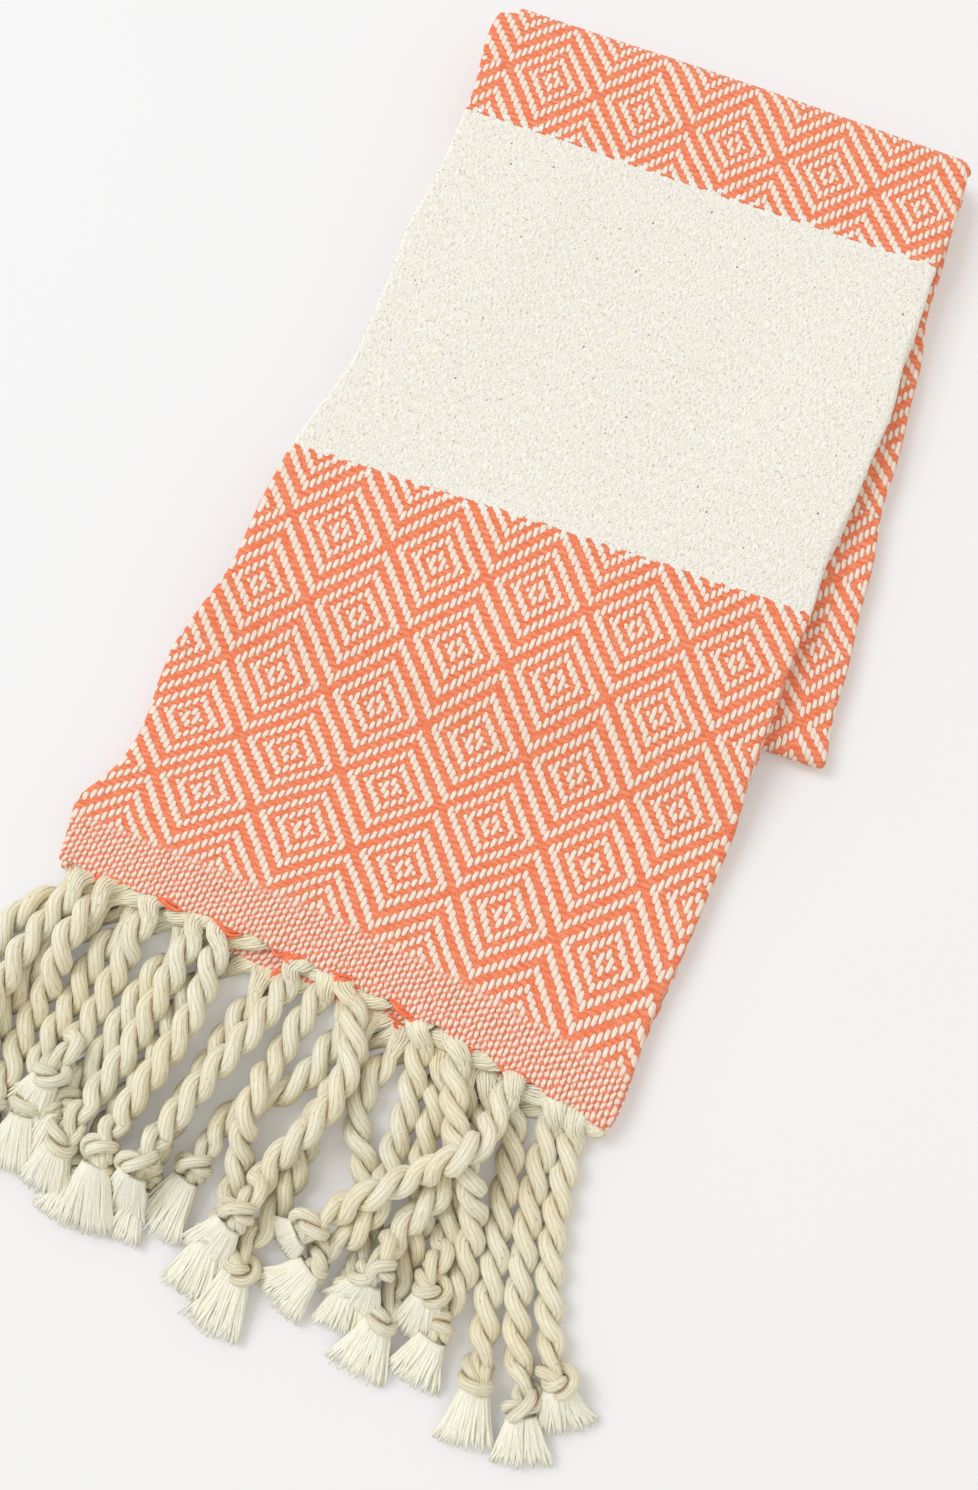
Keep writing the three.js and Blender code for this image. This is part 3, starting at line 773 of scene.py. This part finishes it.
def settle_ropes():
    """Relaxes all beads together. Beads of different ropes closer than a rope's thickness
    move apart along the line between them, each bead sinks a little, none goes below its own
    radius over the ground, and each chain is smoothed by a quarter of its bend."""
    flat = np.stack([even_route(points[:-1]) for points, _, _ in ROUTES])
    over = np.array([level for _, level, _ in ROUTES], float)
    root_z = np.array([ROOT_HEIGHT[sheet] for _, _, sheet in ROUTES])
    share = np.linspace(0, 1, BEADS)
    lift = UPPER_LIFT * (root_z == ROOT_HEIGHT[FIRST]) + LEVEL_LIFT * over
    start = ROPE_RADIUS + lift[:, None] * smooth_step(share, 0, 0.25)
    start = start + (root_z - ROPE_RADIUS)[:, None] * (1 - smooth_step(share, 0, 0.2))
    beads = np.concatenate([flat, start[..., None]], -1)
    girth = 2 * ROPE_RADIUS * (0.8 + 0.17 * smooth_step(share, 0.05, 0.25))
    girth = girth + KNOT_THICKER * smooth_step(share, 0.9, 1.0)
    reach = np.tile((girth[:, None] + girth) / 2, (len(ROUTES), len(ROUTES)))
    rope = np.repeat(np.arange(len(ROUTES)), BEADS)
    apart = rope[:, None] != rope
    free = smooth_step(share, 0.0, 0.18)[:, None]
    floor = np.minimum(girth / 2, ROPE_RADIUS + 1.0) * free[:, 0]
    for _ in range(SETTLING_STEPS):
        flat_beads = beads.reshape(-1, 3)
        gap = flat_beads[:, None, :] - flat_beads
        distance = np.sqrt((gap**2).sum(-1)) + 1e-6
        overlap = np.where(apart, np.clip(reach - distance, 0, LARGEST_OVERLAP), 0)
        push = (gap * (overlap / distance)[..., None]).sum(1)
        size = np.linalg.norm(push, axis=-1, keepdims=True) + 1e-9
        push = push / size * np.minimum(size, LARGEST_PUSH) * PUSH_SHARE
        push[:, 2] *= PUSH_UPWARD
        moved = beads + push.reshape(beads.shape) * free
        moved[..., 2] -= SINK * free[:, 0]
        moved[..., :2] += (flat - moved[..., :2]) * PULL_BACK
        bend = np.zeros_like(moved)
        bend[:, 1:-1] = moved[:, :-2] + moved[:, 2:] - 2 * moved[:, 1:-1]
        moved = moved + bend * SMOOTHING * free
        moved[..., 2] = np.maximum(moved[..., 2], floor)
        moved[:, 0] = beads[:, 0]
        beads = moved
    return beads


beads = settle_ropes()
print("ropes rest between", beads[..., 2].min().round(1), "and", beads[..., 2].max().round(1), "mm")

# %% [markdown]
# ## The knot
# Each rope is tied in one overhand knot. Its centre line goes down through the knot, swings
# out, wraps once round the rope on its way back up, and leaves downwards under the wrap.

# %% The knot's own path
KNOT_T = [0, 0.14, 0.28, 0.4, 0.54, 0.68, 0.82, 0.92, 1.0]
KNOT_TURN = [0, 10, 30, 95, 200, 310, 400, 430, 440]
KNOT_OUT = [0, 0.5, 1.9, 3.3, 3.5, 3.4, 2.1, 0.9, 0]
KNOT_DOWN = [-6.5, -2.5, 2.2, 3.0, 0.9, -2.1, -1.2, 2.2, 6.0]
KNOT_BEADS = 44


def circle(turn, first, second):
    """Places round a unit circle: the turn's cosine one way plus its sine the other way."""
    return np.cos(turn)[..., None] * first + np.sin(turn)[..., None] * second


def knot_path(down, side, lift, turn_start, mirror):
    """The centre line in the knot: down the rope's direction by one table, and round it by
    another, at a distance that grows for the wrap and shrinks again."""
    t = np.linspace(0, 1, KNOT_BEADS)
    turn = np.radians(smooth_curve(KNOT_T, KNOT_TURN, t)) * mirror + turn_start
    out = smooth_curve(KNOT_T, KNOT_OUT, t)[:, None]
    along = smooth_curve(KNOT_T, KNOT_DOWN, t)[:, None]
    return along * down + out * circle(turn, side, lift)


# %% [markdown]
# ## Two strands round one line
# A strand is a tube whose middle circles the rope's line, half a turn away from its partner.
# The tube's own frame is carried along the line without twisting, ring after ring.

# %% Carry a frame along a line


def carried_frame(line):
    """Unit vectors along, aside and above at each point of a line. The side vector is carried
    from ring to ring and only leans as much as the line turns."""
    along = unit(np.gradient(line, axis=0))
    aside = np.empty_like(line)
    aside[0] = unit(np.cross(UP, along[0]))
    for ring in range(1, len(line)):
        aside[ring] = unit(aside[ring - 1] - along[ring] * (aside[ring - 1] @ along[ring]))
    return aside, np.cross(along, aside)


def ring_uvs(around, run):
    """The same places round every ring, and one run for each ring."""
    return np.stack(np.broadcast_arrays(around[None, :], run[:, None]), -1)


def there_and_back(sides):
    """From 0 to 1 and back again round a ring, so that no seam shows."""
    return np.minimum(sides, 2 * np.pi - sides) / np.pi


def ovals(line, wide, tall, sides, aside, above):
    """An oval round each point of a line, with its own width aside and height above."""
    across = (wide * np.cos(sides))[..., None] * aside
    return line[:, None] + (across + (tall * np.sin(sides))[..., None] * above)


def fine_thread(line, run, radius, sides, rng):
    """A thin tube of rings round each point of a line. Its UVs take one narrow strip, at
    random, of the fibres that run along the yarn."""
    aside, above = (way[:, None] for way in carried_frame(line))
    turn = np.linspace(0, 2 * np.pi, sides, endpoint=False)[None, :]
    radius = np.broadcast_to(radius, (len(line),))[:, None, None]
    around = np.linspace(0, 0.2, sides) + rng.random()
    return line[:, None] + radius * circle(turn, aside, above), ring_uvs(around, run)


# %% The centre line of one rope
ROPE_RINGS = 74
KNOT_TAKES = 8.0
LOWEST_LINE = 2.4


def rope_line(index):
    """The whole centre line of a rope: its settled beads, then its knot, with the direction
    in which it leaves the knot, and the share of the length where the knot starts."""
    line = beads[index]
    rng = np.random.default_rng(100 + index)
    mirror = 1 if rng.random() < 0.6 else -1
    onward = np.array([*(np.array(ROUTES[index][0][-1]) - line[-1, :2]), 0.0])
    down = unit(onward) + 0.8 * unit(line[-1] - line[-4])
    down[2] = min(down[2], 0) * 0.4
    down = unit(down)
    side = unit(np.cross(UP, down))
    knot = line[-1] + knot_path(down, side, np.cross(down, side),
                                rng.uniform(0, 2 * np.pi), mirror)
    knot[:, 2] = np.maximum(knot[:, 2], LOWEST_LINE)
    run = run_along(line)
    before = line[run < run[-1] - KNOT_TAKES]
    whole = np.concatenate([before, knot])
    run = run_along(whole)
    smooth = evenly(whole, ROPE_RINGS + KNOT_BEADS)
    for _ in range(2):
        smooth[1:-1] += (smooth[:-2] + smooth[2:] - 2 * smooth[1:-1]) * 0.25
    return smooth, down, run[len(before)] / run[-1]


# %% The two strands of one rope
PLY_PITCH = 17.4
STRAND_RADIUS = 2.2
STRAND_OUT = 2.0
STRAND_SIDES = 12
KNOT_TIGHTENS = 0.3
ROOT_RUN = 5.0
ROOT_RINGS = 11
ROOT_ACROSS = (8.6, -1.0)
ROOT_LEAVES = ((-1.6, -2.8, 0.3), (0.0, -2.8, 0.3))
ROOT_WIDER, ROOT_FLATTER = 1.5, 0.9
LOBES, LOBE_DEPTH, LOBE_PITCH = 5, 0.05, 26


def bend(start, out, back, end, share):
    """A curve pulled by four points: it leaves the first towards the second, and reaches the
    last from the third."""
    t = share[:, None]
    return ((1 - t) ** 3 * start + 3 * (1 - t) ** 2 * t * out
            + 3 * (1 - t) * t**2 * back + t**3 * end)


def root_point(line, sheet, offset, inside, height):
    """A point in the cloth's cut end, at an offset across from where the rope's line starts."""
    across = np.clip([(line[0, 0] + 7.5) / 1.13 + offset], -72, 72)
    return place(sheet, across, np.array([END_Y + inside]), np.array([height + STEP_DOWN]))[0]


def rope_strands(index, line, sheet, knot_share):
    """Two tubes that circle the rope's line, thinner in the knot, where the rope is pulled
    tight. Each strand is gathered from its own stretch of the cloth's end: one comes straight
    down, and the other runs along the edge from the right and slips under it. At the edge a
    strand is wide and flat, and it closes up to a round one."""
    aside, above = carried_frame(line)
    run = run_along(line)
    tight = 1 - KNOT_TIGHTENS * smooth_step(run / run[-1], knot_share - 0.03, knot_share + 0.06)
    rng = np.random.default_rng(300 + index)
    start_turn = rng.uniform(-0.35, 0.35)
    sides = np.linspace(0, 2 * np.pi, STRAND_SIDES, endpoint=False)
    kept = (run > ROOT_RUN) & (run < run[-1] - 1.6)
    strands, painted_shades, sections = [], [], []
    for ply in (0, 1):
        turn = -2 * np.pi * run / PLY_PITCH + ply * np.pi + start_turn
        out = (STRAND_OUT * tight)[:, None]
        helix = (line + out * circle(turn, aside, above))[kept]
        root = root_point(line, sheet, ROOT_ACROSS[ply] + rng.uniform(-0.8, 0.8), 1.0,
                          ROOT_HEIGHT[sheet])
        gathered = bend(root, root + np.array(ROOT_LEAVES[ply]),
                        helix[0] - unit(helix[1] - helix[0]) * 4.0, helix[0],
                        np.linspace(0, 1, ROOT_RINGS + 1)[:-1])
        centre = np.concatenate([gathered, helix])
        own_run = run_along(centre)
        radius = STRAND_RADIUS * np.concatenate([np.ones(ROOT_RINGS), tight[kept]])
        wide = radius + ROOT_WIDER * (1 - smooth_step(own_run, 0, 7.0))
        tall = radius - ROOT_FLATTER * (1 - smooth_step(own_run, 0, 5.0))
        across_way, up_way = carried_frame(centre)
        twist = 2 * np.pi * own_run[:, None] / LOBE_PITCH
        lobes = 1 + LOBE_DEPTH * np.cos(LOBES * sides + twist)
        grid = ovals(centre, wide[:, None] * lobes, tall[:, None] * lobes, sides,
                     across_way[:, None], up_way[:, None])
        # painted shade: points near the rope's axis, where the two strands press together, get darker,
        # though not near the root
        from_axis = np.linalg.norm(grid[ROOT_RINGS:] - line[kept][:, None], axis=-1)
        painted_shade = 1 - smooth_step(from_axis / tight[kept, None], 1.0, 2.5)
        painted_shade = painted_shade * smooth_step(own_run[ROOT_RINGS:, None], 6, 14)
        painted_shades.append(np.concatenate([np.zeros((ROOT_RINGS, STRAND_SIDES)), painted_shade]))
        strands.append((grid, ring_uvs(there_and_back(sides), own_run)))
        sections.append((centre, own_run, across_way, up_way, wide, tall, ROOT_ACROSS[ply]))
    return strands, painted_shades, sections


# %% The brushed-out end below one knot
THREADS_IN_BRUSH = 104
BRUSH_RINGS, BRUSH_SIDES = 8, 16
BRUSH_THREAD = 0.45


def brush(index, line, down):
    """The brushed-out end below a knot: a body that widens and sinks towards the table, and
    fine threads combed over it. A thread keeps its own angle a round the body, so its place is
    width * cos(a) aside and height * sin(a) above, with its own length, lift and slight wave."""
    rng = np.random.default_rng(500 + index)
    start = line[-1] - down * 2.5
    reach = np.linalg.norm(np.array(ROUTES[index][0][-1]) - beads[index, -1, :2]) - 3.0
    side = unit(np.cross(UP, down))
    sides = np.linspace(0, 2 * np.pi, BRUSH_SIDES, endpoint=False)
    spread = rng.uniform(3.3, 4.8)

    def wide(t):
        return 3.5 + spread * t**1.2

    def tall(t):
        return 3.1 - 1.9 * t

    def middle_height(t):
        return start[2] * (1 - t) + 1.7 * t

    t = np.linspace(0, 1, BRUSH_RINGS)
    share = t[:, None] * 0.88
    body_line = start + down * reach * share
    body_line[:, 2] = middle_height(share[:, 0])
    body = ovals(body_line, wide(share), tall(share), sides, side, UP)
    tubes = [(body, ring_uvs(there_and_back(sides) * 3, share[:, 0] * reach))]
    for _ in range(THREADS_IN_BRUSH):
        angle = np.pi * rng.uniform(-0.12, 1.12) + 0.12 * t * rng.normal()
        length = rng.uniform(0.9, 1.07) - 0.08 * np.cos(angle[0]) ** 2
        run = length * t
        lift = 0.05 + abs(rng.normal(0, 0.36)) * smooth_step(t, 0.0, 0.3)
        wave = rng.normal(0, 0.35) * np.sin(t * np.pi * rng.uniform(1.0, 2.4) + rng.uniform(0, 6))
        stray = rng.normal(0, 0.7) * t**2
        aside = (wide(run) + lift) * np.cos(angle) + wave * t + stray
        above = (tall(run) + lift) * np.sin(angle)
        thread_line = start + down * (reach * run)[:, None] + side * aside[:, None]
        thread_line[:, 2] = np.maximum(middle_height(run) + above, 0.5)
        radius = BRUSH_THREAD * (1 - 0.35 * t**3)
        tubes.append(fine_thread(thread_line, run * reach, radius, 5, rng))
    return tubes


# %% The threads combed from the cut edge onto the strands
COMB_THREADS, COMB_REACH = 9, 3.9
FINE_RADIUS = 0.42


def root_comb(index, line, sheet, sections):
    """Warp threads that leave the cloth's edge side by side and close up on their strand. A
    thread starts straight out of the edge, passes over to its own place on the strand's upper
    side, follows the strand, and sinks into it."""
    rng = np.random.default_rng(700 + index)
    t = np.linspace(0, 1, 10)
    tubes = []
    for centre, own_run, across_way, up_way, wide, tall, offset in sections:
        for place_across in np.linspace(-COMB_REACH, COMB_REACH, COMB_THREADS):
            edge = root_point(line, sheet, offset + place_across + rng.uniform(-0.35, 0.35), 0.9,
                              ROOT_HEIGHT[sheet] + rng.uniform(0.1, 1.3))
            at = t * rng.uniform(7.5, 10.0)
            turn = (0.5 - 0.42 * place_across / COMB_REACH) * np.pi
            lift = 1.04 - 0.25 * smooth_step(t, 0.8, 1.0)
            here_wide, here_tall = np.interp(at, own_run, wide), np.interp(at, own_run, tall)
            on_strand = (
                read_at(at, own_run, centre)
                + (here_wide * lift * np.cos(turn))[:, None] * read_at(at, own_run, across_way)
                + (here_tall * lift * np.sin(turn))[:, None] * read_at(at, own_run, up_way))
            straight_out = edge + np.array([0, -1.0, -0.05]) * (t * 4.5)[:, None]
            share = smooth_step(t, 0.02, 0.55)[:, None]
            curve = straight_out * (1 - share) + on_strand * share
            tubes.append(fine_thread(curve, at, FINE_RADIUS, 5, rng))
    return tubes


# %% Build both rows of tassels
LOWEST_POINT, KEPT_BELOW = 0.25, 0.03


def near_table(grid, start):
    """1 at the table, fading to 0 between a start and 3 mm above it."""
    return 1 - smooth_step(grid[..., 2] - GROUND, start, 3.0)


def store_painted_shade(piece, painted_shades):
    """Stores for each point how much painted shade it gets, from 0 to 1. The two
    cap points that end each grid stay at 0."""
    values = np.concatenate([np.append(painted_shade.ravel(), (0, 0)) for painted_shade in painted_shades])
    layer = piece.data.attributes.new("painted_shade", "FLOAT", "POINT")
    layer.data.foreach_set("value", values.astype(np.float32))
    return piece


def tassel_row(sheet, rope_name, brush_name):
    """All ropes of one cut end as one piece, and all their brushes as another. Where a rope
    presses on the table, its underside is flattened. What lies near the table gets painted
    shade too."""
    ropes, brushes, painted_shades = [], [], []
    for index, (_, _, row) in enumerate(ROUTES):
        if row != sheet:
            continue
        line, down, knot_share = rope_line(index)
        strands, strand_painted_shades, sections = rope_strands(index, line, sheet, knot_share)
        comb = root_comb(index, line, sheet, sections)
        ropes += strands + comb
        painted_shades += strand_painted_shades + [np.zeros(grid.shape[:2]) for grid, _ in comb]
        brushes += brush(index, line, down)
    # painted shade near the table, at half strength on the ropes and at full strength on the brushes
    painted_shades = [np.maximum(painted_shade, 0.5 * near_table(grid, 0.5))
               for painted_shade, (grid, _) in zip(painted_shades, ropes)]
    brush_painted_shades = [near_table(grid, 0.3) for grid, _ in brushes]
    for grid, _ in ropes + brushes:
        below = np.clip(GROUND + LOWEST_POINT - grid[..., 2], 0, None)
        grid[..., 2] += below * (1 - KEPT_BELOW)
    return (store_painted_shade(grid_mesh(rope_name, ropes), painted_shades),
            store_painted_shade(grid_mesh(brush_name, brushes), brush_painted_shades))


lower_tassels, lower_brushes = tassel_row(SECOND, "lower_tassels", "lower_brushes")
upper_tassels, upper_brushes = tassel_row(FIRST, "upper_tassels", "upper_brushes")

# %% [markdown]
# ## Twisted cotton
# The ropes are undyed cotton. Each strand shows the fine yarns that it is laid up from, and
# here and there a small brown fleck of seed husk.

# %% Twisted and combed cotton


def twisted_cotton():
    """Yarn lines run along each strand at a small slant. Colour drifts between warm and cool
    cream. The grooves between yarns get painted shade, and so do the crevices between strands and what
    lies near the table."""
    bench = NodeBench("twisted_cotton")
    mix, step = bench.mix, bench.step
    around, along = bench.uv()
    stray = bench.uv_noise(around * 4.0, along * 0.25)
    slant = around * 5.0 + along * 0.11 + stray * 0.7
    groove = bench.math("ABSOLUTE", bench.math("SINE", slant * math.pi))
    fibre = bench.uv_noise(around * 26.0, along * 0.5, 4.0, 0.6)
    place_on_towel = bench.add("TexCoord", None, "Object")
    drift = bench.noise(place_on_towel, 55.0, 2.0)
    fleck = bench.noise(place_on_towel, 900.0, 0.0)
    cotton = mix(step(drift, 0.35, 0.65), paint(255, 246, 213), paint(255, 252, 229))
    cotton = mix(step(fibre, 0.35, 0.65), mix(0.5, cotton, paint(240, 226, 194)), cotton)
    # painted shade: the grooves between yarns are coloured darker
    cotton = mix(step(groove, 0.3, 0.0) * 0.42, cotton, paint(208, 186, 142))
    # painted shade: darker brown between strands and near the table
    cotton = mix(bench.painted_shade() * 0.85, cotton, paint(166, 134, 78))
    cotton = mix(step(fleck, 0.79, 0.83) * 0.4, cotton, paint(170, 146, 108))
    relief = step(groove, 0.0, 0.5) * 0.45 + fibre
    return bench.finish(bench.surface(cotton, relief, 0.00038, 0.93,
                                      Sheen_Weight=0.2, Specular_IOR_Level=0.2))


def combed_cotton():
    """The loose threads of the brushes: the same cotton, paler where it is combed out, with painted shade
    near the table.
    """
    bench = NodeBench("combed_cotton")
    around, along = bench.uv()
    fibre = bench.uv_noise(around * 30.0, along * 0.3, 3.0)
    cotton = bench.mix(bench.step(fibre, 0.3, 0.65), paint(255, 247, 221), paint(255, 254, 238))
    # painted shade: threads near the table are coloured darker
    cotton = bench.mix(bench.painted_shade() * 0.3, cotton, paint(216, 196, 152))
    return bench.finish(bench.surface(cotton, fibre, 0.0003, 0.95,
                                      Sheen_Weight=0.45, Specular_IOR_Level=0.2))


for cotton, pieces in ((twisted_cotton(), (lower_tassels, upper_tassels)),
                       (combed_cotton(), (lower_brushes, upper_brushes))):
    for piece in pieces:
        piece.data.materials.append(cotton)

# %% [markdown]
# ## Loose weft at the cut ends
# Between the tassels the last coral picks are not held down any more, and bow out in small
# bright loops along the cut edge.

# %% Coral loops along both cut ends
LOOP_PLACES = np.arange(-61, 60, 16.0)
LOOPS_IN_PLACE = 7


def weft_loops(name, sheet, z):
    """Threads that follow the cut end between two tassels: an arch whose height below the
    edge is a half sine wave, with a few threads side by side in each arch."""
    rng = np.random.default_rng(40 + sheet)
    t = np.linspace(0, 1, 12)
    tubes = []
    for centre in LOOP_PLACES:
        for strand in range(LOOPS_IN_PLACE):
            span = rng.uniform(3.5, 7.0)
            across = centre + rng.normal(0, 1.2) + (t - 0.5) * span
            dip = 0.3 - rng.uniform(0.4, 2.4) * np.sin(np.pi * t) - 0.25 * strand
            line = place(sheet, across, 0 * t + END_Y + 0.8, 0 * t + z + STEP_DOWN)
            line[:, 1] += dip
            line[:, 2] += rng.uniform(-0.5, 0.7) + 0.9 * np.sin(np.pi * t)
            tubes.append(fine_thread(line, t * span, FINE_RADIUS, 6, rng))
    return grid_mesh(name, tubes)


upper_loops = weft_loops("upper_weft_loops", FIRST, 6.6)
lower_loops = weft_loops("lower_weft_loops", SECOND, 2.4)


def coral_yarn():
    """Bright coral cotton with fine fibre lines along the thread."""
    bench = NodeBench("coral_yarn")
    around, along = bench.uv()
    fibre = bench.uv_noise(around * 14.0, along * 0.8, 2.0)
    colour = bench.mix(bench.step(fibre, 0.3, 0.7), paint(244, 112, 66), paint(252, 146, 106))
    return bench.finish(bench.surface(colour, fibre, 0.0002, 0.9,
                                      Sheen_Weight=0.1, Specular_IOR_Level=0.25))


CORAL_YARN = coral_yarn()
for piece in (upper_loops, lower_loops):
    piece.data.materials.append(CORAL_YARN)

# %% [markdown]
# ## Table and light
# The towel lies on a plain pale table in soft daylight from the left. The table is larger
# than anything the camera sees.

# %% Table
TABLE_GLOW = 0.18
TABLE_REACH, TABLE_BELOW = 6.0, 0.0002


def pale_table():
    """A matt near-white top with the faintest mottling. For the camera, a share of its own
    glow keeps it pale and its shadows soft."""
    bench = NodeBench("pale_table")
    mottle = bench.noise(bench.add("TexCoord", None, "Object"), 6.0, 3.0)
    colour = bench.mix(mottle, paint(240, 240, 241), paint(243, 243, 244))
    surface = bench.surface(colour, mottle, 0.0001, 0.7)
    glow = bench.add("Emission", {"Color": paint(249, 243, 232), "Strength": 1.0})
    share = bench.add("LightPath", None, "Is Camera Ray") * TABLE_GLOW
    return bench.finish(bench.add("MixShader", {0: share, 1: surface, 2: glow}))


table_mesh = bpy.data.meshes.new("table")
table_z = GROUND * MM - TABLE_BELOW
corners = [(x * TABLE_REACH, y * TABLE_REACH, table_z)
           for x, y in ((-1, -1), (1, -1), (1, 1), (-1, 1))]
table_mesh.from_pydata(corners, [], [(0, 1, 2, 3)])
table = bpy.data.objects.new("table", table_mesh)
bpy.context.collection.objects.link(table)
table.data.materials.append(pale_table())

# %% Light
WINDOW = (-3.0, 1.0, 4.0)
DAYLIGHT = (1.0, 0.985, 0.955, 1)

world = bpy.data.worlds.new("daylight")
bpy.context.scene.world = world
world.use_nodes = True
background = world.node_tree.nodes["Background"]
background.inputs[0].default_value = DAYLIGHT
background.inputs[1].default_value = 0.74

# one square lamp up on the left, turned towards the towel
window_data = bpy.data.lights.new("window", "AREA")
window_data.size = 2.3
window_data.energy = 102
window_data.color = (0.99, 1.04, 1.14)
window = bpy.data.objects.new("window", window_data)
window.location = WINDOW
window.rotation_euler = (math.atan2(math.hypot(*WINDOW[:2]), WINDOW[2]), 0,
                         math.atan2(-WINDOW[1], -WINDOW[0]) - math.pi / 2)
bpy.context.collection.objects.link(window)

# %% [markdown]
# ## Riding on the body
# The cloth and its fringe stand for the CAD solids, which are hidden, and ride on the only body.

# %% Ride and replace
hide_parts("towel_cloth")
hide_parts("fringe_upper")
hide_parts("fringe_lower")
for piece, slot in ((woven_towel, "cloth"), (upper_tassels, "fringe"), (lower_tassels, "fringe"),
                    (upper_brushes, "fringe"), (lower_brushes, "fringe"),
                    (upper_loops, "cloth"), (lower_loops, "cloth")):
    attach(piece, "root")
